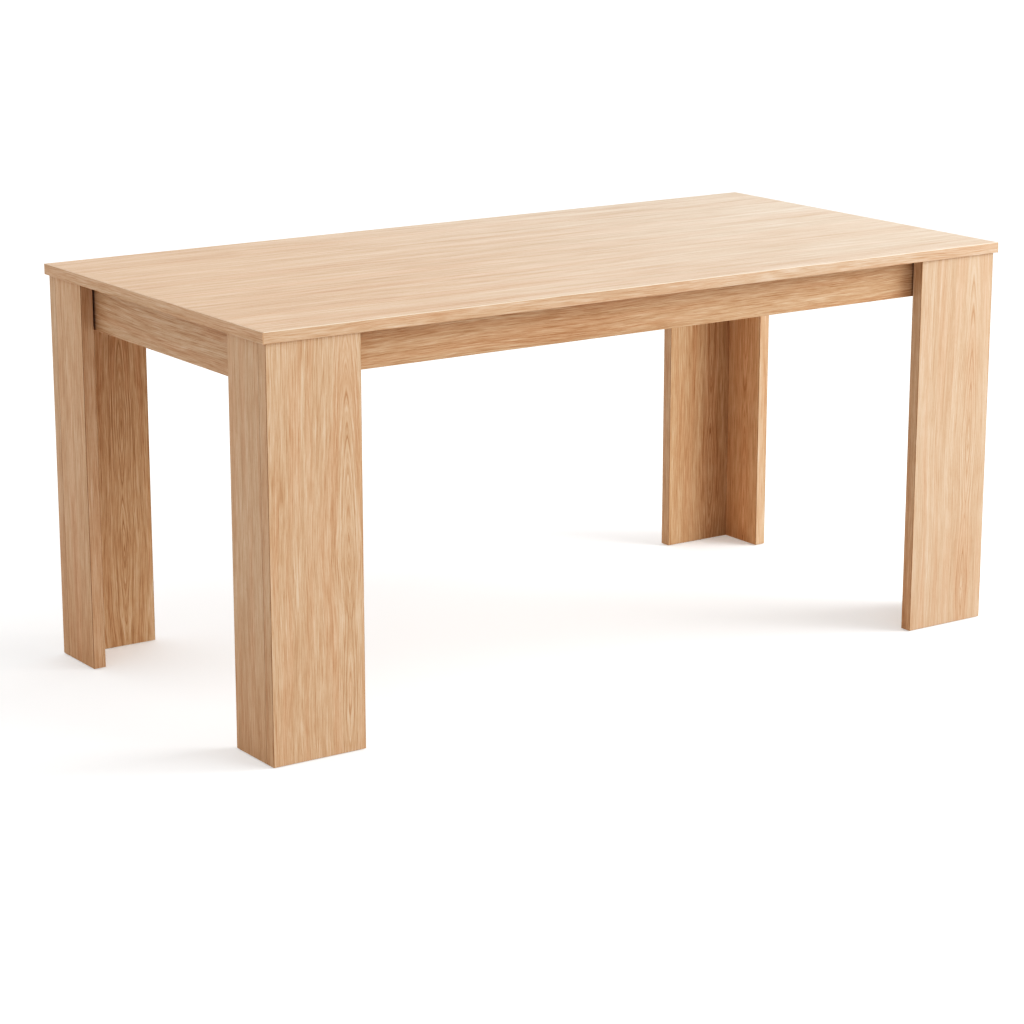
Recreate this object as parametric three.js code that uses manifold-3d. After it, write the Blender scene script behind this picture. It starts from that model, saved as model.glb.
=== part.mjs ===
// Communion table: a plain panel table, 1600 x 800 x 740 mm, on four L-shaped panel legs.
// Units are millimetres. +Z is up, +X runs along the table, and the front long side faces -Y.
// The origin is on the floor, under the centre of the top.
import * as THREE from "three";
import { mergeVertices } from "three/addons/utils/BufferGeometryUtils.js";
import Module from "manifold-3d";

const wasm = await Module();
wasm.setup();

// Overall sizes
const table_length = 1600;
const table_width = 800;
const table_height = 740;

// Table top: one board with a band glued to each edge
const top_thickness = 20;
const top_band = 2;
const top_arris = 1.2;
const end_overhang = 7;
const side_overhang = 5;

// Legs: a wide board on the long side and a narrow board behind it on the short side
const leg_front_width = 180;
const leg_side_width = 126;
const leg_board = 24;
const leg_band = 1;
const leg_arris = 0.8;

// Rails under the top, set back from the inner faces of the legs
const rail_board = 18;
const rail_gap = 4;
const long_rail_height = 70;
const short_rail_height = 87;
const rail_arris = 0.6;
const bearer_height = 60;

// Corner block, glued into the angle of each leg, with its inner corner cut off square to the bolt.
// Its shoulder is how far the face that a rail butts against reaches past the rail.
const block_side = 56;
const block_height = 84;
const block_shoulder = 2;

// Corner plate: a bent steel strip, hooked into a kerf in each rail and drawn in by the hanger bolt
const plate_steel = 2.5;
const plate_height = 45;
const plate_bend = 14;
const plate_tab = 30;
const hook_depth = 6;
const plate_screw_hole = 4.5;
const plate_screw_spread = 26;

// Hanger bolt and its nut
const bolt_diameter = 8;
const bolt_in_block = 38;
const bolt_past_nut = 7;
const bolt_point = 4;
const nut_height = 6.5;
const nut_across_flats = 13;
const nut_flange_height = 1.5;
const nut_flange_diameter = 17;

// Angle brackets that hold the top to the rails
const bracket_steel = 2;
const bracket_leg = 25;
const bracket_width = 22;
const bracket_hole = 5;
const long_rail_bracket_spacing = 860;

// Nail-in glides under the legs
const glide_lift = 1.5;
const glide_diameter = 18;
const glide_rounding = 0.8;
const glide_pin_diameter = 3;
const glide_pin_length = 12;

// Clearances
const glue_line = 0.1;
const turned_gap = 0.3;
const round_sides = 20;

// Places that follow from the sizes above
const leg_end_x = table_length / 2 - end_overhang;
const leg_side_y = table_width / 2 - side_overhang;
const under_top = table_height - top_thickness;
const rail_top = under_top - glue_line;
const rail_outer = leg_board + rail_gap;
const rail_inner = rail_outer + rail_board;
const block_face = leg_board + glue_line + block_side;
const block_chamfer = block_face - rail_inner - block_shoulder;
const rail_start = block_face + glue_line;
const leg_height = rail_top - glide_lift - glue_line;
const leg_middle = rail_top - leg_height / 2;
const plate_middle = rail_top - long_rail_height / 2;

function finish(colour, roughness, metalness) {
  return new THREE.MeshStandardMaterial({ color: colour, roughness, metalness });
}

const top_laminate = finish(0xe4c7a4, 0.5, 0);
const leg_laminate = finish(0xdab592, 0.55, 0);
const rail_laminate = finish(0xbe9166, 0.55, 0);
const band_laminate = finish(0xd9b48c, 0.5, 0);
const beech = finish(0xcda878, 0.7, 0);
const zinc_steel = finish(0xb9bcc0, 0.35, 1);
const glide_plastic = finish(0x6b5a48, 0.6, 0);

function solid_of(geometry) {
  const bare = geometry.clone();
  bare.deleteAttribute("normal");
  bare.deleteAttribute("uv");
  const merged = mergeVertices(bare, 1e-4);
  return new wasm.Manifold(
    new wasm.Mesh({
      numProp: 3,
      vertProperties: new Float32Array(merged.attributes.position.array),
      triVerts: new Uint32Array(merged.index.array),
    }),
  );
}

function geometry_of(solid) {
  const mesh = solid.getMesh();
  const geometry = new THREE.BufferGeometry();
  geometry.setAttribute("position", new THREE.BufferAttribute(mesh.vertProperties, 3));
  geometry.setIndex(new THREE.BufferAttribute(mesh.triVerts, 1));
  const facets = geometry.toNonIndexed();
  facets.computeVertexNormals();
  return facets;
}

function cut(geometry, cutters) {
  let solid = solid_of(geometry);
  for (const cutter of cutters) {
    solid = solid.subtract(solid_of(cutter));
  }
  return geometry_of(solid);
}

function piece(name, geometry, material) {
  const mesh = new THREE.Mesh(geometry, material);
  mesh.name = name;
  return mesh;
}

// A box that spans two opposite corners.
function box_between(low, high) {
  const size = high.map((value, axis) => value - low[axis]);
  const middle = high.map((value, axis) => (value + low[axis]) / 2);
  return new THREE.BoxGeometry(...size).translate(...middle);
}

// A bar of one section, its length centred on Z.
function bar(section, length) {
  const settings = { depth: length, bevelEnabled: false, curveSegments: 4 };
  return new THREE.ExtrudeGeometry(section, settings).translate(0, 0, -length / 2);
}

// A rectangle centred on the origin with a small chamfer on each corner.
function chamfered_rectangle(width, height, chamfer) {
  const x = width / 2;
  const y = height / 2;
  const section = new THREE.Shape();
  section.moveTo(-x + chamfer, -y);
  section.lineTo(x - chamfer, -y);
  section.lineTo(x, -y + chamfer);
  section.lineTo(x, y - chamfer);
  section.lineTo(x - chamfer, y);
  section.lineTo(-x + chamfer, y);
  section.lineTo(-x, y - chamfer);
  section.lineTo(-x, -y + chamfer);
  section.closePath();
  return section;
}

// An edge band's section: glued along x = thickness, both outer corners at x = 0 rounded.
function band_section(thickness, width, arris) {
  const radius = Math.min(arris, thickness * 0.9, width / 2.5);
  const section = new THREE.Shape();
  section.moveTo(thickness, 0);
  section.lineTo(thickness, width);
  section.lineTo(radius, width);
  section.absarc(radius, width - radius, radius, Math.PI / 2, Math.PI, false);
  section.lineTo(0, radius);
  section.absarc(radius, radius, radius, Math.PI, 1.5 * Math.PI, false);
  section.closePath();
  return section;
}

// A straight round bar or hole along the line between two points.
function rod(start, end, diameter) {
  const from = new THREE.Vector3(...start);
  const to = new THREE.Vector3(...end);
  const along = to.clone().sub(from);
  const geometry = new THREE.CylinderGeometry(diameter / 2, diameter / 2, along.length(), round_sides);
  const turn = new THREE.Quaternion().setFromUnitVectors(
    new THREE.Vector3(0, 1, 0),
    along.clone().normalize(),
  );
  geometry.applyQuaternion(turn);
  return geometry.translate(...from.add(to).multiplyScalar(0.5));
}

// The outline of a strip of even thickness bent along a path of points.
function strip_outline(path, thickness) {
  const points = path.map(([x, y]) => new THREE.Vector2(x, y));
  const left = [];
  const right = [];
  points.forEach((point, index) => {
    const before = points[Math.max(index - 1, 0)];
    const after = points[Math.min(index + 1, points.length - 1)];
    const into = (index ? point.clone().sub(before) : after.clone().sub(point)).normalize();
    const out = (index < points.length - 1 ? after.clone().sub(point) : into.clone()).normalize();
    const across = new THREE.Vector2(-into.y - out.y, into.x + out.x).normalize();
    const reach = thickness / 2 / across.dot(new THREE.Vector2(-into.y, into.x));
    left.push(point.clone().addScaledVector(across, reach));
    right.push(point.clone().addScaledVector(across, -reach));
  });
  return new THREE.Shape(right.concat(left.reverse()));
}

// Table top

function table_top() {
  const group = new THREE.Group();
  const core_x = table_length / 2 - top_band - glue_line;
  const core_y = table_width / 2 - top_band - glue_line;
  const core = box_between([-core_x, -core_y, under_top], [core_x, core_y, table_height]);
  group.add(piece("top_board", core, top_laminate));

  const band = band_section(top_band, top_thickness, top_arris);
  const end_band = bar(band, table_width).rotateX(Math.PI / 2);
  const side_band = bar(band, core_x * 2).rotateX(Math.PI / 2).rotateZ(Math.PI / 2);
  const left = piece("top_band_left", end_band, band_laminate);
  left.position.set(-table_length / 2, 0, under_top);
  const right = piece("top_band_right", end_band, band_laminate);
  right.position.set(table_length / 2, 0, under_top);
  right.rotation.z = Math.PI;
  const front = piece("top_band_front", side_band, band_laminate);
  front.position.set(0, -table_width / 2, under_top);
  const back = piece("top_band_back", side_band, band_laminate);
  back.position.set(0, table_width / 2, under_top);
  back.rotation.z = Math.PI;
  return group.add(left, right, front, back);
}

// One leg and what is fixed in its angle. The outer corner of the leg is at the group's origin,
// x runs inwards along the table, and y runs inwards across it.

function leg_boards(name) {
  const low = rail_top - leg_height;
  const wide_low = [leg_band + glue_line, 0, low];
  const wide_high = [leg_front_width - leg_band - glue_line, leg_board, rail_top];
  const narrow_low = [0, leg_board + glue_line, low];
  const narrow_high = [leg_board, leg_side_width - leg_band - glue_line, rail_top];
  const pin_hole = glide_pin_diameter + 2 * turned_gap;
  return [
    ["wide", wide_low, wide_high],
    ["narrow", narrow_low, narrow_high],
  ].flatMap(([kind, from, to]) => {
    const x = (from[0] + to[0]) / 2;
    const y = (from[1] + to[1]) / 2;
    const hole_top = low + glide_pin_length + turned_gap;
    const hole = rod([x, y, low - 1], [x, y, hole_top], pin_hole);
    const glide = piece(name + "_" + kind + "_glide", glide_body(), glide_plastic);
    glide.position.set(x, y, 0);
    const board = cut(box_between(from, to), [hole]);
    return [piece(name + "_" + kind + "_board", board, leg_laminate), glide];
  });
}

function leg_bands(name) {
  const section = band_section(leg_band, leg_board, leg_arris);
  const upright = bar(section, leg_height);
  const outer = piece(name + "_outer_band", upright, band_laminate);
  outer.position.set(0, 0, leg_middle);
  const inner = piece(name + "_inner_band", upright, band_laminate);
  inner.position.set(leg_front_width, leg_board, leg_middle);
  inner.rotation.z = Math.PI;
  const side = piece(name + "_side_band", upright, band_laminate);
  side.position.set(0, leg_side_width, leg_middle);
  side.rotation.z = -Math.PI / 2;
  return [outer, inner, side];
}

function glide_body() {
  const rim = glide_diameter / 2;
  const head_top = glide_lift;
  const pin = glide_pin_diameter / 2;
  const pin_top = head_top + glide_pin_length;
  const profile = [
    [0, 0],
    [rim - glide_rounding, 0],
    [rim, glide_rounding],
    [rim, head_top],
    [pin, head_top],
    [pin, pin_top - 2 * pin],
    [0, pin_top],
  ].map(([x, y]) => new THREE.Vector2(x, y));
  return new THREE.LatheGeometry(profile, round_sides).rotateX(Math.PI / 2);
}

// Distances along the diagonal of the corner, measured from the leg's outer corner.
const diagonal = Math.SQRT1_2;
const chamfer_distance = (2 * block_face - block_chamfer) * diagonal;
const plate_line = rail_inner + turned_gap + plate_steel / 2;
const plate_corner = block_face + plate_bend;
const plate_distance = (plate_line + plate_corner) * diagonal;
const nut_distance = plate_distance + plate_steel / 2 + turned_gap;
const bolt_start = chamfer_distance - bolt_in_block;
const bolt_end = nut_distance + nut_height + bolt_past_nut;

function on_diagonal(distance) {
  return [distance * diagonal, distance * diagonal, plate_middle];
}

function corner_block(name) {
  const near = leg_board + glue_line;
  const shoulder = block_face - block_chamfer;
  const outline = new THREE.Shape();
  outline.moveTo(near, near);
  outline.lineTo(block_face, near);
  outline.lineTo(block_face, shoulder);
  outline.lineTo(shoulder, block_face);
  outline.lineTo(near, block_face);
  outline.closePath();
  const block = bar(outline, block_height).translate(0, 0, rail_top - block_height / 2);
  const hole_bottom = on_diagonal(bolt_start - turned_gap);
  const hole_mouth = on_diagonal(chamfer_distance + 1);
  const hole = rod(hole_bottom, hole_mouth, bolt_diameter + 2 * turned_gap);
  return piece(name + "_corner_block", cut(block, [hole]), beech);
}

function corner_plate(name) {
  const hook = plate_corner + plate_tab;
  const tip = rail_inner - hook_depth;
  const path = [
    [hook, tip],
    [hook, plate_line],
    [plate_corner, plate_line],
    [plate_line, plate_corner],
    [plate_line, hook],
    [tip, hook],
  ];
  const strip = bar(strip_outline(path, plate_steel), plate_height).translate(0, 0, plate_middle);
  const bolt_hole = rod(
    on_diagonal(plate_distance - 2 * plate_steel),
    on_diagonal(plate_distance + 2 * plate_steel),
    bolt_diameter + 4 * turned_gap,
  );
  const screw = (plate_corner + hook) / 2;
  const screw_holes = [-1, 1].flatMap((side) => {
    const z = plate_middle + (side * plate_screw_spread) / 2;
    const inside = rail_inner - plate_steel;
    const outside = rail_inner + 3 * plate_steel;
    return [
      rod([screw, inside, z], [screw, outside, z], plate_screw_hole),
      rod([inside, screw, z], [outside, screw, z], plate_screw_hole),
    ];
  });
  return piece(name + "_corner_plate", cut(strip, [bolt_hole, ...screw_holes]), zinc_steel);
}

// The lathe's axis is turned from +Y onto the diagonal that leaves the corner.
function turn_to_diagonal(mesh) {
  mesh.rotation.z = -Math.PI / 4;
  mesh.position.set(0, 0, plate_middle);
  return mesh;
}

function hanger_bolt(name) {
  const radius = bolt_diameter / 2;
  const profile = [
    [0, bolt_start],
    [radius, bolt_start + bolt_point],
    [radius, bolt_end - radius / 4],
    [radius * 0.75, bolt_end],
    [0, bolt_end],
  ].map(([x, y]) => new THREE.Vector2(x, y));
  const body = new THREE.LatheGeometry(profile, round_sides);
  return turn_to_diagonal(piece(name + "_hanger_bolt", body, zinc_steel));
}

function bolt_nut(name) {
  const corner = nut_across_flats / Math.sqrt(3);
  const flange_radius = nut_flange_diameter / 2;
  const hexagon = new THREE.CylinderGeometry(corner, corner, nut_height, 6);
  const flange = new THREE.CylinderGeometry(
    flange_radius - nut_flange_height / 2,
    flange_radius,
    nut_flange_height,
    round_sides,
  );
  hexagon.translate(0, nut_distance + nut_height / 2, 0);
  flange.translate(0, nut_distance + nut_flange_height / 2, 0);
  const hole = rod(
    [0, nut_distance - 1, 0],
    [0, nut_distance + nut_height + 1, 0],
    bolt_diameter + 2 * turned_gap,
  );
  const body = solid_of(hexagon).add(solid_of(flange)).subtract(solid_of(hole));
  return turn_to_diagonal(piece(name + "_bolt_nut", geometry_of(body), zinc_steel));
}

function leg_corner(name, side_x, side_y) {
  const corner = new THREE.Group();
  corner.add(...leg_boards(name), ...leg_bands(name), corner_block(name));
  corner.add(corner_plate(name), hanger_bolt(name), bolt_nut(name));
  corner.position.set(side_x * leg_end_x, side_y * leg_side_y, 0);
  corner.scale.set(-side_x, -side_y, 1);
  return corner;
}

// Rails: boards on edge between the corner blocks, with a kerf near each end for the plate's hook.

function rail(name, half_span, height) {
  const length = 2 * (half_span - rail_start);
  const section = chamfered_rectangle(height, rail_board, rail_arris);
  const board = bar(section, length).rotateY(Math.PI / 2);
  const kerf_middle = half_span - plate_corner - plate_tab;
  const kerf_half = plate_steel / 2 + turned_gap;
  const inner_face = rail_board / 2;
  const kerf_floor = inner_face - hook_depth - turned_gap;
  const kerfs = [-1, 1].map((end) => {
    const middle = end * kerf_middle;
    return box_between(
      [middle - kerf_half, kerf_floor, -height],
      [middle + kerf_half, inner_face + 1, height],
    );
  });
  return piece(name, cut(board, kerfs), rail_laminate);
}

function rails() {
  const group = new THREE.Group();
  const rail_middle = rail_outer + rail_board / 2;
  for (const [side, turn, name] of [
    [-1, 0, "front_rail"],
    [1, Math.PI, "back_rail"],
  ]) {
    const board = rail(name, leg_end_x, long_rail_height);
    board.position.set(0, side * (leg_side_y - rail_middle), rail_top - long_rail_height / 2);
    board.rotation.z = turn;
    group.add(board);
  }
  for (const [side, turn, name] of [
    [-1, -Math.PI / 2, "left_rail"],
    [1, Math.PI / 2, "right_rail"],
  ]) {
    const board = rail(name, leg_side_y, short_rail_height);
    board.position.set(side * (leg_end_x - rail_middle), 0, rail_top - short_rail_height / 2);
    board.rotation.z = turn;
    group.add(board);
  }
  const bearer_length = 2 * (leg_side_y - rail_inner - glue_line);
  const section = chamfered_rectangle(rail_board, bearer_height, rail_arris);
  const bearer = piece("centre_bearer", bar(section, bearer_length), rail_laminate);
  bearer.rotation.x = Math.PI / 2;
  bearer.position.set(0, 0, rail_top - bearer_height / 2);
  return group.add(bearer);
}

// Angle brackets: one leg on the rail's inner face, the other flat under the top.

function angle_bracket() {
  const thick = bracket_steel;
  const reach = bracket_leg;
  const angle = new THREE.Shape();
  angle.moveTo(0, 0);
  angle.lineTo(reach, 0);
  angle.lineTo(reach, -thick);
  angle.lineTo(thick, -thick);
  angle.lineTo(thick, -reach);
  angle.lineTo(0, -reach);
  angle.closePath();
  const hole_at = (reach + thick) / 2;
  const holes = [
    rod([hole_at, -2 * thick, 0], [hole_at, thick, 0], bracket_hole),
    rod([-thick, -hole_at, 0], [2 * thick, -hole_at, 0], bracket_hole),
  ];
  return cut(bar(angle, bracket_width), holes).rotateX(Math.PI / 2);
}

function brackets() {
  const group = new THREE.Group();
  const shape = angle_bracket();
  const face_x = leg_end_x - rail_inner - glue_line;
  const face_y = leg_side_y - rail_inner - glue_line;
  const half_spacing = long_rail_bracket_spacing / 2;
  for (const [name, x, y, turn] of [
    ["front_left_bracket", -half_spacing, -face_y, Math.PI / 2],
    ["front_right_bracket", half_spacing, -face_y, Math.PI / 2],
    ["back_left_bracket", -half_spacing, face_y, -Math.PI / 2],
    ["back_right_bracket", half_spacing, face_y, -Math.PI / 2],
    ["left_bracket", -face_x, 0, 0],
    ["right_bracket", face_x, 0, Math.PI],
  ]) {
    const bracket = piece(name, shape, zinc_steel);
    bracket.position.set(x, y, rail_top);
    bracket.rotation.z = turn;
    group.add(bracket);
  }
  return group;
}

const table = new THREE.Group();
table.add(table_top(), rails(), brackets());
table.add(
  leg_corner("front_left", -1, -1),
  leg_corner("front_right", 1, -1),
  leg_corner("back_left", -1, 1),
  leg_corner("back_right", 1, 1),
);

export default table;
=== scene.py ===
import math

import bpy
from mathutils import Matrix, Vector


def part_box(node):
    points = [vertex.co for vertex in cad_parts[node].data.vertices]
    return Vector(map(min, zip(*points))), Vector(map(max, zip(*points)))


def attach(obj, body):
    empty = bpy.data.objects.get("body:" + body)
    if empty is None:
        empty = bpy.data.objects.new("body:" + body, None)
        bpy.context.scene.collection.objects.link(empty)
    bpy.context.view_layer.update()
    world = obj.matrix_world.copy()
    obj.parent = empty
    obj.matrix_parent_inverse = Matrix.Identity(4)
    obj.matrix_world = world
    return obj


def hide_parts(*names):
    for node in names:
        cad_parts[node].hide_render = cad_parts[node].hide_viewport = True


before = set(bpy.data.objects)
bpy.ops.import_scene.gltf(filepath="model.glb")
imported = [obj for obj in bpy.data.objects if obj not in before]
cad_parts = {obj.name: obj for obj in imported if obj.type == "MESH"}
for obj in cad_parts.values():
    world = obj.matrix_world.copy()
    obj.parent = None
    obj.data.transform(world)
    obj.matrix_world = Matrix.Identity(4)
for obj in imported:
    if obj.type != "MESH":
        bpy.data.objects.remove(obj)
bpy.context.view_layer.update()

# ---- Camera ----
# It stands off the front left corner, at a person's eye height, and looks down along the table
# through a long lens.
camera_data = bpy.data.cameras.new("camera")
camera_data.sensor_width = 36
camera_data.lens = 103.7
camera_pitch = 14.43
camera_heading = 34.32
camera = bpy.data.objects.new("camera", camera_data)
camera.location = (-3.087, -4.458, 1.638)
camera.rotation_euler = (math.radians(90 - camera_pitch), 0, math.radians(-camera_heading))
bpy.context.scene.collection.objects.link(camera)
bpy.context.scene.camera = camera

# The film: a plain curve that deepens the dark tones and rolls off towards white.
film_contrast = 1.65
film_shoulder = 0.97
view = bpy.context.scene.view_settings
view.view_transform = "Standard"
view.use_curve_mapping = True
tone_curve = view.curve_mapping.curves[3]
for light in (0.06, 0.13, 0.22, 0.33, 0.46, 0.6, 0.78):
    raised = light ** film_contrast
    tone_curve.points.new(light, (1 + film_shoulder) * raised / (raised + film_shoulder))
view.curve_mapping.update()


# ---- Studio ----
# A white sweep under soft light: bright walls all round, brighter on the right and at the back, a
# wide far light from the front right, and a soft box on that side. Both lamps are kept out of the
# reflections, as with a polarising filter, so that they don't glare off the top.
class Wire:
    """One output of a shader's nodes. Arithmetic on wires adds Math nodes, for numbers only."""

    def __init__(self, tree, socket=None):
        self.tree = tree
        self.socket = socket

    def node(self, kind, settings=None, inputs=None, output=0):
        """Adds a node: first its settings, then the values or wires of its inputs."""
        made = self.tree.nodes.new(kind)
        for setting, value in (settings or {}).items():
            if setting != "stops":
                setattr(made, setting, value)
                continue
            stops = made.color_ramp.elements
            while len(stops) < len(value):
                stops.new(1.0)
            for stop, (position, colour) in zip(stops, value):
                stop.position = position
                stop.color = (*colour, 1)
        for name, value in (inputs or {}).items():
            wires = value if isinstance(value, list) else [value]
            for wire in wires:
                if isinstance(wire, Wire):
                    self.tree.links.new(wire.socket, made.inputs[name])
                else:
                    made.inputs[name].default_value = wire
        return Wire(self.tree, made.outputs[output]) if len(made.outputs) else None

    def sum(self, operation, *values):
        return self.node("ShaderNodeMath", {"operation": operation}, dict(enumerate(values)))

    def __add__(self, other):
        return self.sum("ADD", self, other)

    def __radd__(self, other):
        return self.sum("ADD", other, self)

    def __sub__(self, other):
        return self.sum("SUBTRACT", self, other)

    def __rsub__(self, other):
        return self.sum("SUBTRACT", other, self)

    def __mul__(self, other):
        return self.sum("MULTIPLY", self, other)

    def __rmul__(self, other):
        return self.sum("MULTIPLY", other, self)

    def __truediv__(self, other):
        return self.sum("DIVIDE", self, other)

    def __pow__(self, other):
        return self.sum("POWER", self, other)

    def __abs__(self):
        return self.sum("ABSOLUTE", self)

    def axes(self):
        """The three parts of a vector."""
        split = self.node("ShaderNodeSeparateXYZ", inputs={0: self})
        return [Wire(self.tree, part) for part in split.socket.node.outputs]

    def rise(self, low, high):
        """0 up to low, 1 from high on, and a smooth rise between them."""
        settings = {"interpolation_type": "SMOOTHSTEP"}
        return self.node("ShaderNodeMapRange", settings, {"Value": self, 1: low, 2: high})


wall_light = 0.94
wall_right = 0.30
wall_back = 1.01
wall_white = 1.7
key_place = (0.75, -0.55, 0.55)
key_strength = 1.71
key_spread = 60
box_place = (2.6, -1.6, 1.6)
box_aim = (0.6, -0.2, 0.4)
box_side = 1.6
box_watts = 64
world = bpy.data.worlds.new("studio")
world.use_nodes = True
world.node_tree.nodes.clear()
start = Wire(world.node_tree)
right, away, _ = start.node("ShaderNodeTexCoord", output="Generated").axes()
glow = (
    wall_light
    + wall_right * start.sum("MAXIMUM", right, 0.0)
    + wall_back * start.sum("MAXIMUM", away, 0.0)
)
seen = start.node("ShaderNodeLightPath", output="Is Camera Ray")
walls = start.node("ShaderNodeBackground", inputs={"Strength": glow + seen * (wall_white - glow)})
start.node("ShaderNodeOutputWorld", inputs={"Surface": walls})
bpy.context.scene.world = world


def lamp(name, light, place, aim):
    made = bpy.data.objects.new(name, light)
    made.location = place
    made.rotation_euler = (Vector(aim) - Vector(place)).to_track_quat("-Z", "Y").to_euler()
    made.visible_glossy = False
    bpy.context.scene.collection.objects.link(made)


def far_light(name, place, strength, spread):
    light = bpy.data.lights.new(name, "SUN")
    light.energy = strength
    light.angle = math.radians(spread)
    lamp(name, light, place, (0, 0, 0))


def soft_box(name, place, aim, side, watts):
    light = bpy.data.lights.new(name, "AREA")
    light.shape = "RECTANGLE"
    light.size = side
    light.size_y = side
    light.energy = watts
    lamp(name, light, place, aim)


far_light("key_light", key_place, key_strength, key_spread)
soft_box("end_light", box_place, box_aim, box_side, box_watts)


def new_material(name):
    material = bpy.data.materials.new(name)
    material.use_nodes = True
    material.node_tree.nodes.clear()
    return material, Wire(material.node_tree)


def coat(start, colour, roughness, **more):
    """The shader that every material here ends in."""
    inputs = {"Base Color": colour, "Roughness": roughness}
    inputs.update({name.replace("_", " "): value for name, value in more.items()})
    shader = start.node("ShaderNodeBsdfPrincipled", inputs=inputs)
    start.node("ShaderNodeOutputMaterial", inputs={"Surface": shader})


floor_white = (0.70, 0.70, 0.70, 1)
floor_roughness = 0.9
floor_glow = 0.29
floor_reach = 40
floor_mesh = bpy.data.meshes.new("floor")
near_edge = [(-floor_reach, -floor_reach, 0), (floor_reach, -floor_reach, 0)]
far_edge = [(floor_reach, floor_reach, 0), (-floor_reach, floor_reach, 0)]
floor_mesh.from_pydata(near_edge + far_edge, [], [(0, 1, 2, 3)])
floor = bpy.data.objects.new("floor", floor_mesh)
bpy.context.scene.collection.objects.link(floor)
white_sweep, start = new_material("white sweep")
coat(
    start, floor_white, floor_roughness, Specular_IOR_Level=0.0,
    Emission_Color=(1, 1, 1, 1), Emission_Strength=floor_glow,
)
floor_mesh.materials.append(white_sweep)


# ---- Top board ----
# One board 20 mm thick, faced on both sides with an oak-grained laminate whose grain runs along
# the table. The finish is matt, and its grain is faint: fine fibres over wide tan streaks.
MM = 0.001
oak_dark = (0.40, 0.215, 0.105)
oak_brown = (0.50, 0.29, 0.155)
oak_tan = (0.585, 0.37, 0.215)
oak_pale = (0.66, 0.45, 0.285)
oak_cream = (0.72, 0.53, 0.36)
oak_blush = (0.98, 0.90, 0.86, 1)
leg_tint = (0.815, 0.895, 1.04)
top_tint = (0.938, 1.06, 1.27)
satin_gloss = 0.5
matt_gloss = 0.2

# The layers of the grain: the width and length of a patch in millimetres, its detail, and how
# deep in the noise it lies, so that no two layers are alike.
grain = {
    "bend": (130, 480, 1.0, 0.0),
    "sway": (30, 120, 1.0, 3.7),
    "fray": (5, 20, 1.0, 7.1),
    "wobble": (60, 70, 1.0, 9.2),
    "uneven": (11, 700, 1.0, 11.3),
    "fibres": (1.0, 45, 2.0, 15.9),
    "streaks": (2.3, 85, 3.0, 19.3),
    "bands": (13, 300, 1.0, 23.1),
    "pores": (0.6, 8, 0.0, 27.7),
    "blush": (20, 450, 1.0, 31.9),
    "strokes": (1.7, 55, 2.0, 35.3),
}
grain_through = 0.21
bend_reach = 20
sway_reach = 3
fray_reach = 1.2
wobble_reach = 2.5
loop_slope = 0.065
loop_point = 1.5
eye_blend = 40.0
plain_figure = 0.35

# How far each layer takes the tone up or down the five shades, which run from 0 to 1.
fibre_share = 0.95
streak_share = 0.8
band_share = 0.45
ring_share = 0.55
stroke_share = 0.15
pore_share = 0.08
blush_share = 0.6


def mixed(start, share, first, second, blend="MIX"):
    """Mixes a share of the second colour into the first, or tints the first with it."""
    settings = {"data_type": "RGBA", "blend_type": blend}
    return start.node("ShaderNodeMix", settings, {0: share, 6: first, 7: second}, 2)


def patch(start, across, along, face, detail=1.0):
    """Soft noise from about 0.2 to 0.8, one patch to each unit across and along."""
    place = start.node("ShaderNodeCombineXYZ", inputs={0: across, 1: along, 2: face})
    inputs = {"Vector": place, "Scale": 1.0, "Detail": detail, "Roughness": 0.55}
    return start.node("ShaderNodeTexNoise", inputs=inputs)


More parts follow.
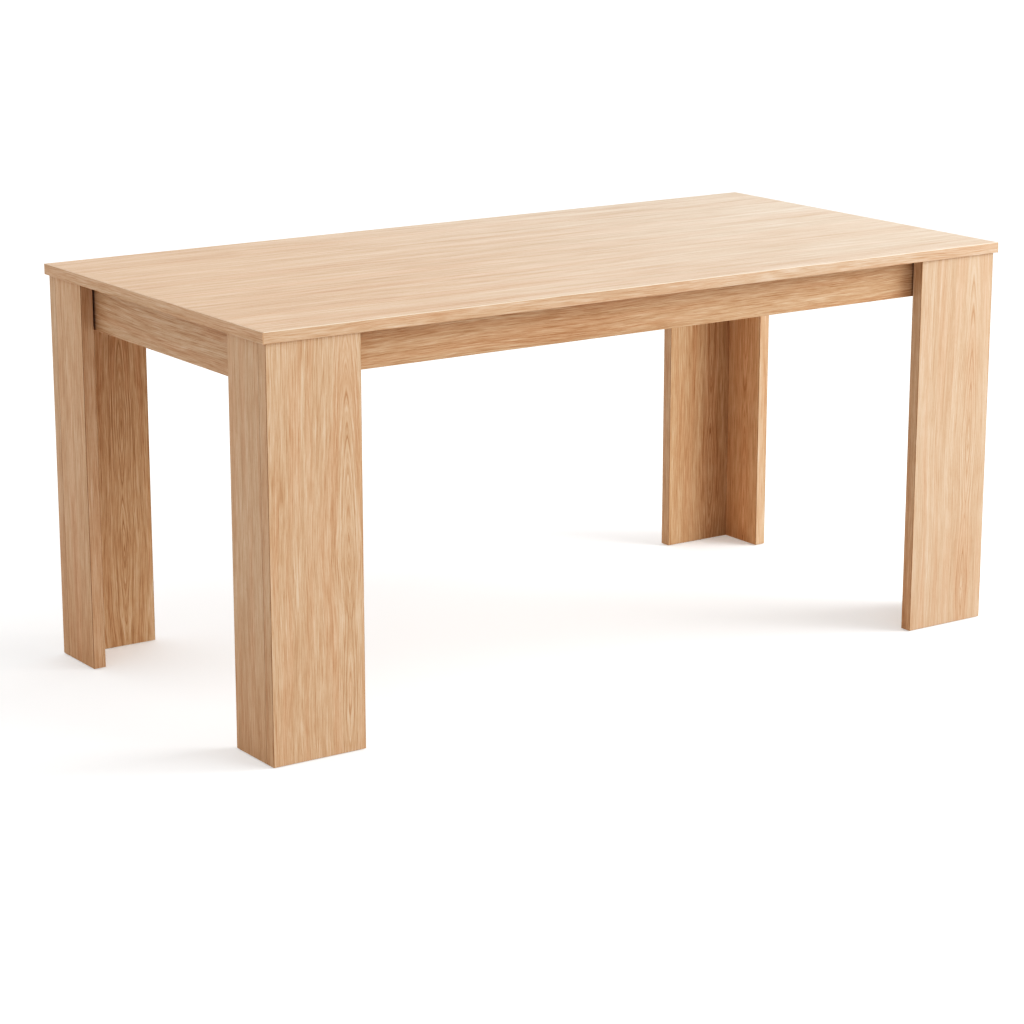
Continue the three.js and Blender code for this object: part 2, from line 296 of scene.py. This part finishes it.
def oak(name, across, along, through, seed=0.0, heart=None, eyes=(), fibre=1.0, streak=1.0,
        ring=1.0, coarse=1.0, growth=4.2, light=0.0, gloss=matt_gloss, tint=leg_tint,
        inner_light_and_shade=None, drift=None, arris=None, chip_ends=False):
    """Oak laminate. across, along and through say how far a point is over the grain, along it and
    into the board: each is an axis, the place it is measured from, in metres, and a direction.
    heart is where the figure's middle line runs, eyes where its loops close and growth the width
    of a yearly ring, in millimetres. inside is a tint painted on the inner face as light and shade,
    and drift is two tints with the places along the grain where one has turned into the other."""
    material, start = new_material(name)
    place = start.node("ShaderNodeTexCoord", output="Object").axes()
    across, along, through = [
        (place["XYZ".index(axis)] - zero) * (direction / MM)
        for axis, zero, direction in (across, along, through)
    ]
    face = through * grain_through + seed

    def layer(name, over, wider=1.0, longer=1.0):
        width, length, detail, depth = grain[name]
        return patch(start, over / (width * wider), along / (length * longer), face + depth, detail)

    bend = (layer("bend", across) - 0.5) * bend_reach
    sway = (layer("sway", across, longer=coarse) - 0.5) * sway_reach
    fray = (layer("fray", across) - 0.5) * fray_reach
    line = across + bend + sway + fray
    rings_at = line
    figure = plain_figure
    if heart is not None:
        reach = abs(along - eyes[0])
        for eye in eyes[1:]:
            reach = start.sum("SMOOTH_MIN", reach, abs(along - eye), eye_blend)
        reach = reach * loop_slope + layer("wobble", across) * wobble_reach
        rings_at = (abs(line - heart) ** loop_point + reach ** loop_point) ** (1 / loop_point)
        figure = 1.0 - (1.0 - plain_figure) * rings_at.rise(2.4 * growth, 8 * growth)
    turn = start.sum("FRACT", rings_at / growth + layer("uneven", rings_at) * 3.0)
    dark_ring = turn.rise(0.0, 0.08) * (1.0 - turn) ** 5
    fibres = layer("fibres", rings_at)
    streaks = layer("streaks", rings_at, coarse, coarse)
    bands = layer("bands", rings_at, coarse, coarse)
    blush = layer("blush", rings_at, coarse, coarse).rise(0.42, 0.68)
    strokes = layer("strokes", rings_at, coarse, coarse).rise(0.56, 0.7)
    pores = layer("pores", line).rise(0.62, 0.72)
    tone = (
        0.5 + light
        + (fibres - 0.5) * (fibre_share * fibre)
        + (streaks - 0.5) * (streak_share * streak)
        + (bands - 0.5) * band_share
        - dark_ring * figure * (ring_share * ring)
        - strokes * (stroke_share * fibre)
        - pores * pore_share
    )
    shades = (oak_dark, oak_brown, oak_tan, oak_pale, oak_cream)
    stops = [
        (step / (len(shades) - 1), [part * share for part, share in zip(shade, tint)])
        for step, shade in enumerate(shades)
    ]
    colour = start.node("ShaderNodeValToRGB", {"stops": stops}, {0: tone})
    colour = mixed(start, blush * blush_share, colour, oak_blush, "MULTIPLY")
    if inner_light_and_shade is not None:
        colour = mixed(start, through.rise(8, 16), colour, inner_light_and_shade, "MULTIPLY")
    if drift is not None:
        first, last, first_place, last_place = drift
        shift = mixed(start, along.rise(first_place, last_place), first, last)
        colour = mixed(start, 1.0, colour, shift, "MULTIPLY")
    if arris is not None:
        colour = eased_arris(start, colour, *arris)
    roughness = 0.46 + fibres * 0.12 + pores * 0.1
    if chip_ends:
        colour = core_ends(start, colour, place)
    relief = fibres * 0.5 - pores * 0.4 - dark_ring * 0.3
    inputs = {"Strength": 0.25, "Distance": 0.15 * MM, "Height": relief}
    bump = start.node("ShaderNodeBump", inputs=inputs)
    coat(start, colour, roughness, Normal=bump, Specular_IOR_Level=gloss)
    return material


def eased_arris(start, colour, facing, shade, share):
    """Tints the rounded corners of a band: facing picks them by the way they face."""
    x, y, z = start.node("ShaderNodeTexCoord", output="Normal").axes()
    eased = {"up": z.rise(0.15, 0.4), "sideways": abs(x * y).rise(0.08, 0.3)}[facing]
    return mixed(start, eased * share, colour, shade)


chip_dark = (0.22, 0.13, 0.07)
chip_brown = (0.42, 0.28, 0.16)
chip_pale = (0.60, 0.45, 0.29)
chip_width = 1.6
chip_length = 2.6


def core_ends(start, colour, place):
    """The sawn upper and lower ends of a board, where the chips of its core show."""
    upright = start.node("ShaderNodeTexCoord", output="Normal").axes()[2]
    sawn = abs(upright).rise(0.6, 0.8)
    x, y, z = [value / MM for value in place]
    spot = start.node("ShaderNodeCombineXYZ", inputs={0: x / chip_width, 1: y / chip_length, 2: z})
    chips = start.node("ShaderNodeTexVoronoi", inputs={"Vector": spot, "Scale": 1.0}, output="Color")
    shade = chips.axes()[0]
    stops = [(0.0, chip_dark), (0.5, chip_brown), (1.0, chip_pale)]
    core = start.node("ShaderNodeValToRGB", {"stops": stops}, {0: shade})
    return mixed(start, sawn, colour, core)


def finish_node(node, material):
    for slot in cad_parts[node].material_slots:
        slot.material = material


# The sheet is painted yellower at the left end of the table and paler and bluer at the right:
# a painted sheen that grows towards the right.
top_painted_sheen = ((0.918, 0.855, 0.785, 1), (0.945, 1.02, 1.08, 1), -700, 700)
top_oak = oak(
    "oak top laminate", ("Y", 0, 1), ("X", 0, 1), ("Z", 0, 1), seed=4.0,
    fibre=0.7, streak=1.5, ring=0.3, coarse=1.9, gloss=satin_gloss, tint=top_tint,
    drift=top_painted_sheen,
)
finish_node("top_board", top_oak)


# ---- Top edging ----
# Four bands 2 mm thick, cut from the same oak-grained sheet and glued to the edges of the top.
# Their outer arrises are eased, and their upward-facing rounds are painted pale, a painted
# highlight, so the top has a thin pale line all round, strongest at the front.
arris_highlight = (0.86, 0.76, 0.62, 1)
# The front and back bands are painted a little bluer towards the right end: the same painted sheen as
# on the top.
band_painted_sheen = ((1.0, 0.99, 1.0, 1), (0.96, 0.99, 1.05, 1), -700, 700)
# The last number of each band is the share of painted highlight on its arris.
top_bands = (
    ("front", "X", "Y", 40.0, 0.5), ("back", "X", "Y", 50.0, 0.3),
    ("left", "Y", "X", 60.0, 0.15), ("right", "Y", "X", 70.0, 0.3),
)
for side, run, out, seed, wear_and_highlight in top_bands:
    top_band_oak = oak(
        f"oak top edging {side}", ("Z", 0, 1), (run, 0, 1), (out, 0, 1), seed=seed, ring=0.5,
        drift=band_painted_sheen if run == "X" else None, arris=("up", arris_highlight, wear_and_highlight),
    )
    finish_node("top_band_" + side, top_band_oak)


# ---- Legs ----
# Each leg is two boards 24 mm thick set in an L, the wide one on the long side of the table, with
# bands 1 mm thick on its three upright edges. The grain runs up them, with a figure of pointed
# loops on some faces. Their lower ends are sawn chipboard. The narrow boards and the outer and
# inner bands are painted a shade browner towards the floor, as painted shade, and the boards'
# inner faces are tinted with painted light and shade.
# The rounded upright corners of the edging are painted dark.
dark_arris_line = (0.20, 0.12, 0.06, 1)
dark_arris_share = 0.85
# Painted shade: the inner faces of the leg boards are tinted a little deeper than the outer ones.
inner_painted_shade = (1.0, 0.97, 0.91, 1)
# Painted shade: browner towards the floor, over the lowest 320 mm.
painted_foot_shade = ((0.97, 0.91, 0.85, 1), (1.0, 1.0, 1.0, 1), 0, 320)
pinker_tint = (0.775, 0.877, 1.065)
greyer_tint = (0.83, 0.88, 0.99)
# On the back left wide board and the back right narrow board the inner face is painted lighter:
# painted light.
wide_boards = {
    "front_left": dict(heart=150, eyes=(345, 100), streak=1.1),
    "front_right": dict(heart=48, eyes=(375, 80), fibre=0.6, streak=0.7, tint=pinker_tint),
    "back_right": dict(heart=70, eyes=(490, 400, 160), growth=7.0, ring=1.3, fibre=1.3, streak=1.2),
    "back_left": dict(heart=122, eyes=(430, 180), growth=6.5, ring=1.4, fibre=1.5, streak=1.4,
        inner_light_and_shade=(1.06, 1.05, 1.0, 1)),
}
narrow_boards = {
    "front_left": dict(ring=0.7),
    "front_right": dict(ring=0.7),
    "back_right": dict(heart=82, eyes=(500, 90), growth=7.0, ring=1.0, fibre=1.15, light=0.05,
        inner_light_and_shade=(1.19, 1.12, 1.03, 1)),
    "back_left": dict(ring=0.7, streak=1.3, tint=greyer_tint),
}
corners = ("front_left", "front_right", "back_left", "back_right")
for count, corner in enumerate(corners):
    low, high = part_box(corner + "_wide_board")
    inward_x = 1 if corner.endswith("left") else -1
    inward_y = 1 if corner.startswith("front") else -1
    corner_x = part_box(corner + "_narrow_board")[0 if inward_x > 0 else 1].x
    corner_y = (low if inward_y > 0 else high).y
    from_x = ("X", corner_x, inward_x)
    from_y = ("Y", corner_y, inward_y)
    upwards = ("Z", 0, 1)
    wide_oak = oak(
        f"oak {corner} wide board", from_x, upwards, from_y, seed=100.0 + 10 * count,
        chip_ends=True, **{"inner_light_and_shade": inner_painted_shade, **wide_boards[corner]},
    )
    finish_node(corner + "_wide_board", wide_oak)
    narrow_oak = oak(
        f"oak {corner} narrow board", from_y, upwards, from_x, seed=200.0 + 10 * count,
        drift=painted_foot_shade, chip_ends=True, **{"inner_light_and_shade": inner_painted_shade, **narrow_boards[corner]},
    )
    finish_node(corner + "_narrow_board", narrow_oak)
    edge_oak = oak(
        f"oak {corner} edging", from_y, upwards, from_x, seed=300.0 + 10 * count, ring=0.5,
        light=-0.05, drift=painted_foot_shade, arris=("sideways", dark_arris_line, dark_arris_share),
    )
    finish_node(corner + "_outer_band", edge_oak)
    finish_node(corner + "_inner_band", edge_oak)
    side_oak = oak(
        f"oak {corner} side edging", from_x, upwards, from_y, seed=350.0 + 10 * count, ring=0.5,
        arris=("sideways", dark_arris_line, dark_arris_share),
    )
    finish_node(corner + "_side_band", side_oak)


# ---- Rails ----
# Boards 18 mm thick on edge under the top, their grain along them and browner than the top. The
# bearer across the middle is of the same board. Each is a shade lighter or darker than the next.
rail_tint = (0.775, 0.84, 0.96)
rails = (
    ("front_rail", "X", "Y", -0.12), ("back_rail", "X", "Y", -0.10), ("left_rail", "Y", "X", -0.03),
    ("right_rail", "Y", "X", -0.06), ("centre_bearer", "Y", "X", -0.08),
)
for count, (rail, run, out, light) in enumerate(rails):
    rail_oak = oak(
        f"oak {rail}", ("Z", 0, 1), (run, 0, 1), (out, 0, 1), seed=400.0 + 10 * count, light=light,
        ring=0.8, fibre=1.3, streak=1.1, tint=rail_tint,
    )
    finish_node(rail, rail_oak)


# ---- Corner blocks ----
# Solid beech, glued into the angle of each leg, with the inner corner sawn off. Planed and left
# raw: pinkish brown, with the short dark flecks that beech has.
beech_pale = (0.60, 0.40, 0.26)
beech_rose = (0.50, 0.30, 0.18)
beech_fleck = (0.30, 0.155, 0.08, 1)
beech_ring = 9
beech_ray = (0.9, 3.2)
saw_pitch = 1.1

beech, start = new_material("raw beech")
x, y, z = [value / MM for value in start.node("ShaderNodeTexCoord", output="Object").axes()]
growth = patch(start, x / beech_ring, z / 160, y / beech_ring, 2.0)
fleck = patch(start, x / beech_ray[0], z / beech_ray[1], y / beech_ray[0], 0.0).rise(0.63, 0.7)
saw_marks = patch(start, x / 14, z / saw_pitch, y / 14, 1.0)
stops = [(0.3, beech_rose), (0.7, beech_pale)]
body = start.node("ShaderNodeValToRGB", {"stops": stops}, {0: growth})
colour = mixed(start, fleck * 0.7, body, beech_fleck)
relief = saw_marks * 0.6 - fleck * 0.5
bump = start.node("ShaderNodeBump", inputs={"Strength": 0.3, "Distance": 0.2 * MM, "Height": relief})
coat(start, colour, 0.58 + saw_marks * 0.2, Normal=bump, Specular_IOR_Level=0.3)
for corner in corners:
    finish_node(corner + "_corner_block", beech)


# ---- Corner plates, nuts and brackets ----
# Pressed and bent steel strip, and flanged nuts, all bright zinc plated: a bluish grey with faint
# cloudy patches, and fine scuffs from the tumbling drum.
zinc_blue = (0.56, 0.58, 0.61)
zinc_warm = (0.66, 0.645, 0.60)

zinc, start = new_material("bright zinc")
x, y, z = [value / MM for value in start.node("ShaderNodeTexCoord", output="Object").axes()]
cloud = patch(start, x / 7, y / 7, z / 7, 3.0)
scuff = patch(start, x / 0.5, y / 0.5, z / 4, 1.0)
stops = [(0.35, zinc_blue), (0.65, zinc_warm)]
colour = start.node("ShaderNodeValToRGB", {"stops": stops}, {0: cloud})
bump = start.node("ShaderNodeBump", inputs={"Strength": 0.12, "Distance": 0.05 * MM, "Height": scuff})
coat(start, colour, 0.24 + cloud * 0.16 + scuff * 0.1, Normal=bump, Metallic=1.0)
brackets = ("front_left", "front_right", "back_left", "back_right", "left", "right")
for corner in corners:
    finish_node(corner + "_corner_plate", zinc)
    finish_node(corner + "_bolt_nut", zinc)
for bracket in brackets:
    finish_node(bracket + "_bracket", zinc)


# ---- Hanger bolts ----
# An M8 bolt with a coarse wood thread in the block, a short plain waist, and a machine thread for
# the nut. Both threads are rolled, so their crests are rounded, and the bolt is zinc plated.
bolt_radius = 4.0
wood_thread = {"pitch": 3.0, "depth": 1.0, "step": 0.5}
nut_thread = {"pitch": 1.25, "depth": 0.62, "step": 0.25}
waist_radius = 3.6
waist_length = 5.0
wood_thread_length = 30.0
bolt_point_length = 7.0
bolt_lead = 1.2
bolt_sides = 24
bolt_end_gap = 3


def thread_radius(thread, distance, turn):
    """The radius of a thread at a distance along its axis and a share of a turn round it."""
    share = (distance / thread["pitch"] - turn) % 1
    crest = 0.5 + 0.5 * math.cos(2 * math.pi * share)
    return bolt_radius - thread["depth"] * (1 - crest)


def bolt_radius_at(distance, length, turn):
    if distance < wood_thread_length:
        point = min(1.0, 0.08 + distance / bolt_point_length)
        return thread_radius(wood_thread, distance, turn) * point
    if distance < wood_thread_length + waist_length:
        return waist_radius
    lead = min(0.0, length - distance - bolt_lead) * 0.8
    return min(thread_radius(nut_thread, distance, turn), bolt_radius + lead)


def piece_from(name, points, faces, material):
    mesh = bpy.data.meshes.new(name)
    mesh.from_pydata(points, [], faces)
    mesh.materials.append(material)
    mesh.update()
    piece = bpy.data.objects.new(name, mesh)
    bpy.context.scene.collection.objects.link(piece)
    return piece


for corner in corners:
    low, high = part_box(corner + "_hanger_bolt")
    inward_x = 1 if corner.endswith("left") else -1
    inward_y = 1 if corner.startswith("front") else -1
    inward = Vector((inward_x, inward_y, 0)).normalized()
    wide_low, wide_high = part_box(corner + "_wide_board")
    narrow_low, narrow_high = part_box(corner + "_narrow_board")
    outer = Vector((
        narrow_low.x if inward.x > 0 else narrow_high.x,
        wide_low.y if inward.y > 0 else wide_high.y,
        (low.z + high.z) / 2,
    ))
    near_x, far_x = sorted((abs(low.x - outer.x), abs(high.x - outer.x)))
    bolt_start = near_x / MM * math.sqrt(2)
    length = far_x / MM * math.sqrt(2) - bolt_start - bolt_end_gap
    sideways = Vector((-inward.y, inward.x, 0))
    stations = []
    distance = 0.0
    while distance < length:
        stations.append(distance)
        thread = wood_thread if distance < wood_thread_length else nut_thread
        distance += thread["step"]
    stations.append(length)
    points = []
    for distance in stations:
        for side in range(bolt_sides):
            turn = side / bolt_sides
            radius = bolt_radius_at(distance, length, turn)
            angle = 2 * math.pi * turn
            across = sideways * math.cos(angle) + Vector((0, 0, math.sin(angle)))
            points.append(outer + (inward * (bolt_start + distance) + across * radius) * MM)
    faces = []
    for ring in range(len(stations) - 1):
        for side in range(bolt_sides):
            here = ring * bolt_sides
            beyond = here + bolt_sides
            after = (side + 1) % bolt_sides
            faces.append((here + side, here + after, beyond + after, beyond + side))
    faces.append(tuple(range(bolt_sides))[::-1])
    last = (len(stations) - 1) * bolt_sides
    faces.append(tuple(last + side for side in range(bolt_sides)))
    bolt = piece_from(corner + "_threaded_bolt", points, faces, zinc)
    for face in bolt.data.polygons:
        face.use_smooth = len(face.vertices) == 4
    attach(bolt, "root")
    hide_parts(corner + "_hanger_bolt")


# ---- Wood screws ----
# Pan-head screws with a cross recess, four through each corner plate into the rails and two
# through each bracket, one into the rail and one up into the top. Zinc plated.
screw_inputs = {
    "Head diameter": 8.0 * MM,
    "Head height": 2.6 * MM,
    "Recess width": 4.4 * MM,
    "Recess slot": 0.9 * MM,
    "Recess depth": 1.6 * MM,
    "Shank diameter": 4.0 * MM,
    "Thread pitch": 1.8 * MM,
    "Length": 15.0 * MM,
}
screw_tree = bpy.data.node_groups.new("wood screws", "GeometryNodeTree")
sockets = screw_tree.interface
sockets.new_socket(name="Seats", in_out="INPUT", socket_type="NodeSocketGeometry")
for name in screw_inputs:
    sockets.new_socket(name=name, in_out="INPUT", socket_type="NodeSocketFloat")
sockets.new_socket(name="Finish", in_out="INPUT", socket_type="NodeSocketMaterial")
sockets.new_socket(name="Screws", in_out="OUTPUT", socket_type="NodeSocketGeometry")

start = Wire(screw_tree)
given = start.node("NodeGroupInput").socket.node.outputs
seats = Wire(screw_tree, given["Seats"])
head_diameter, head_height, recess_width, recess_slot, recess_depth, shank, pitch, length = [
    Wire(screw_tree, given[name]) for name in screw_inputs
]


def vector(x, y, z):
    return start.node("ShaderNodeCombineXYZ", inputs={0: x, 1: y, 2: z})


def moved(geometry, x, y, z):
    inputs = {"Geometry": geometry, "Translation": vector(x, y, z)}
    return start.node("GeometryNodeTransform", inputs=inputs)


def turned_bar(sides, steps, radius, depth):
    inputs = {"Vertices": sides, "Side Segments": steps, "Radius": radius, "Depth": depth}
    return start.node("GeometryNodeMeshCylinder", inputs=inputs)


def swelled(geometry, share):
    """Scales each point's distance from the screw's axis by a share that follows its height."""
    x, y, z = start.node("GeometryNodeInputPosition").axes()
    inputs = {"Geometry": geometry, "Position": vector(x * share, y * share, z)}
    return start.node("GeometryNodeSetPosition", inputs=inputs)


height = start.node("GeometryNodeInputPosition").axes()[2]
dome = height / head_height
head_sides = 24
shank_sides = 12
shank_steps = 50
twist_seed = 11
pan = moved(turned_bar(head_sides, 5, head_diameter / 2, head_height), 0.0, 0.0, head_height / 2)
pan = swelled(pan, (1.0 - dome * dome * dome * 0.55) ** 0.5)
cutter_height = recess_depth * 2
for width, depth in ((recess_width, recess_slot), (recess_slot, recess_width)):
    size = vector(width, depth, cutter_height)
    bar = moved(start.node("GeometryNodeMeshCube", inputs={"Size": size}), 0.0, 0.0, head_height)
    pan = start.node("GeometryNodeMeshBoolean", {"operation": "DIFFERENCE"}, {0: pan, 1: bar})
rod = moved(turned_bar(shank_sides, shank_steps, shank / 2, length), 0.0, 0.0, 0.0 - length / 2)
ridge = start.sum("PINGPONG", height / pitch, 0.5) * 0.6 + 0.7
tip = start.sum("MINIMUM", (height + length) / (shank * 1.2) + 0.08, 1.0)
rod = swelled(rod, ridge * tip)
screw = start.node("GeometryNodeJoinGeometry", inputs={0: [pan, rod]})
aim = start.node("GeometryNodeInputNamedAttribute", {"data_type": "FLOAT_VECTOR"}, {"Name": "aim"})
upright = start.node("FunctionNodeAlignRotationToVector", {"axis": "Z"}, {"Vector": aim})
limits = {2: 0.0, 3: 1.57, 8: twist_seed}
stop = start.node("FunctionNodeRandomValue", {"data_type": "FLOAT"}, limits, 1)
twist = start.node("FunctionNodeEulerToRotation", inputs={0: vector(0.0, 0.0, stop)})
settings = {"rotation_space": "LOCAL"}
turned = start.node("FunctionNodeRotateRotation", settings, {"Rotation": upright, "Rotate By": twist})
inputs = {"Points": seats, "Instance": screw, "Rotation": turned}
screws = start.node("GeometryNodeInstanceOnPoints", inputs=inputs)
screws = start.node("GeometryNodeRealizeInstances", inputs={0: screws})
finish = Wire(screw_tree, given["Finish"])
screws = start.node("GeometryNodeSetMaterial", inputs={"Geometry": screws, "Material": finish})
start.node("NodeGroupOutput", inputs={"Screws": screws})


def drive_screws(name, places, sizes):
    """Makes one plain mesh of screws: places is a list of seats and the ways their heads face."""
    mesh = bpy.data.meshes.new(name + "_seats")
    mesh.from_pydata([place for place, way in places], [], [])
    ways = mesh.attributes.new("aim", "FLOAT_VECTOR", "POINT")
    ways.data.foreach_set("vector", [part for place, way in places for part in way])
    seats = bpy.data.objects.new(name + "_seats", mesh)
    bpy.context.scene.collection.objects.link(seats)
    modifier = seats.modifiers.new("screws", "NODES")
    modifier.node_group = screw_tree
    for socket in screw_tree.interface.items_tree:
        if socket.name in sizes:
            modifier[socket.identifier] = sizes[socket.name]
        if socket.name == "Finish":
            modifier[socket.identifier] = zinc
    bpy.context.view_layer.update()
    view = bpy.context.evaluated_depsgraph_get()
    made = bpy.data.meshes.new_from_object(seats.evaluated_get(view), depsgraph=view)
    bpy.data.objects.remove(seats)
    made.name = name
    piece = bpy.data.objects.new(name, made)
    bpy.context.scene.collection.objects.link(piece)
    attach(piece, "root")


plate_steel = 2.5 * MM
plate_gap = 0.3 * MM
screw_from_plate_end = 16.25 * MM
screw_spread = 13 * MM
plate_lift = plate_gap + plate_steel
seats = []
for corner in corners:
    low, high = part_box(corner + "_corner_plate")
    inward_x = 1 if corner.endswith("left") else -1
    inward_y = 1 if corner.startswith("front") else -1
    long_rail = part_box("front_rail" if inward_y > 0 else "back_rail")
    short_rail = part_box("left_rail" if inward_x > 0 else "right_rail")
    face_y = (long_rail[1] if inward_y > 0 else long_rail[0]).y + inward_y * plate_lift
    face_x = (short_rail[1] if inward_x > 0 else short_rail[0]).x + inward_x * plate_lift
    end_x = (high if inward_x > 0 else low).x - inward_x * screw_from_plate_end
    end_y = (high if inward_y > 0 else low).y - inward_y * screw_from_plate_end
    middle = (low.z + high.z) / 2
    for z in (middle - screw_spread, middle + screw_spread):
        seats.append(((end_x, face_y, z), (0, inward_y, 0)))
        seats.append(((face_x, end_y, z), (inward_x, 0, 0)))
drive_screws("plate_screws", seats, screw_inputs)

bracket_steel = 2 * MM
bracket_hole = 13.5 * MM
bracket_screw_head = 7.6 * MM
seats = []
for bracket in brackets:
    low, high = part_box(bracket + "_bracket")
    middle = (low + high) / 2
    axis = 0 if bracket in ("left", "right") else 1
    out = 1 if middle[axis] > 0 else -1
    rail_face = (high if out > 0 else low)[axis]
    on_rail = middle.copy()
    on_rail[axis] = rail_face - out * bracket_steel
    on_rail.z = high.z - bracket_hole
    facing_in = Vector((0, 0, 0))
    facing_in[axis] = -out
    under_top = middle.copy()
    under_top[axis] = rail_face - out * bracket_hole
    under_top.z = high.z - bracket_steel
    seats.append((on_rail, facing_in))
    seats.append((under_top, Vector((0, 0, -1))))
drive_screws("bracket_screws", seats, {**screw_inputs, "Head diameter": bracket_screw_head})


# ---- Glides ----
# Nail-in glides of dark brown nylon, two under each leg. The rims are slightly worn and greyed by
# the floor.
nylon_brown = (0.075, 0.052, 0.038)
nylon_worn = (0.20, 0.175, 0.15)

nylon, start = new_material("brown nylon")
x, y, z = [value / MM for value in start.node("ShaderNodeTexCoord", output="Object").axes()]
mottle = patch(start, x / 1.5, y / 1.5, z / 1.5, 2.0)
wear_and_highlight = (1.0 - z.rise(0.0, 1.0)) * mottle.rise(0.3, 0.7)
stops = [(0.0, nylon_brown), (1.0, nylon_worn)]
colour = start.node("ShaderNodeValToRGB", {"stops": stops}, {0: wear_and_highlight * 0.7 + mottle * 0.15})
bump = start.node("ShaderNodeBump", inputs={"Strength": 0.2, "Distance": 0.05 * MM, "Height": mottle})
coat(start, colour, 0.42 + wear_and_highlight * 0.3, Normal=bump)
for corner in corners:
    finish_node(corner + "_wide_glide", nylon)
    finish_node(corner + "_narrow_glide", nylon)
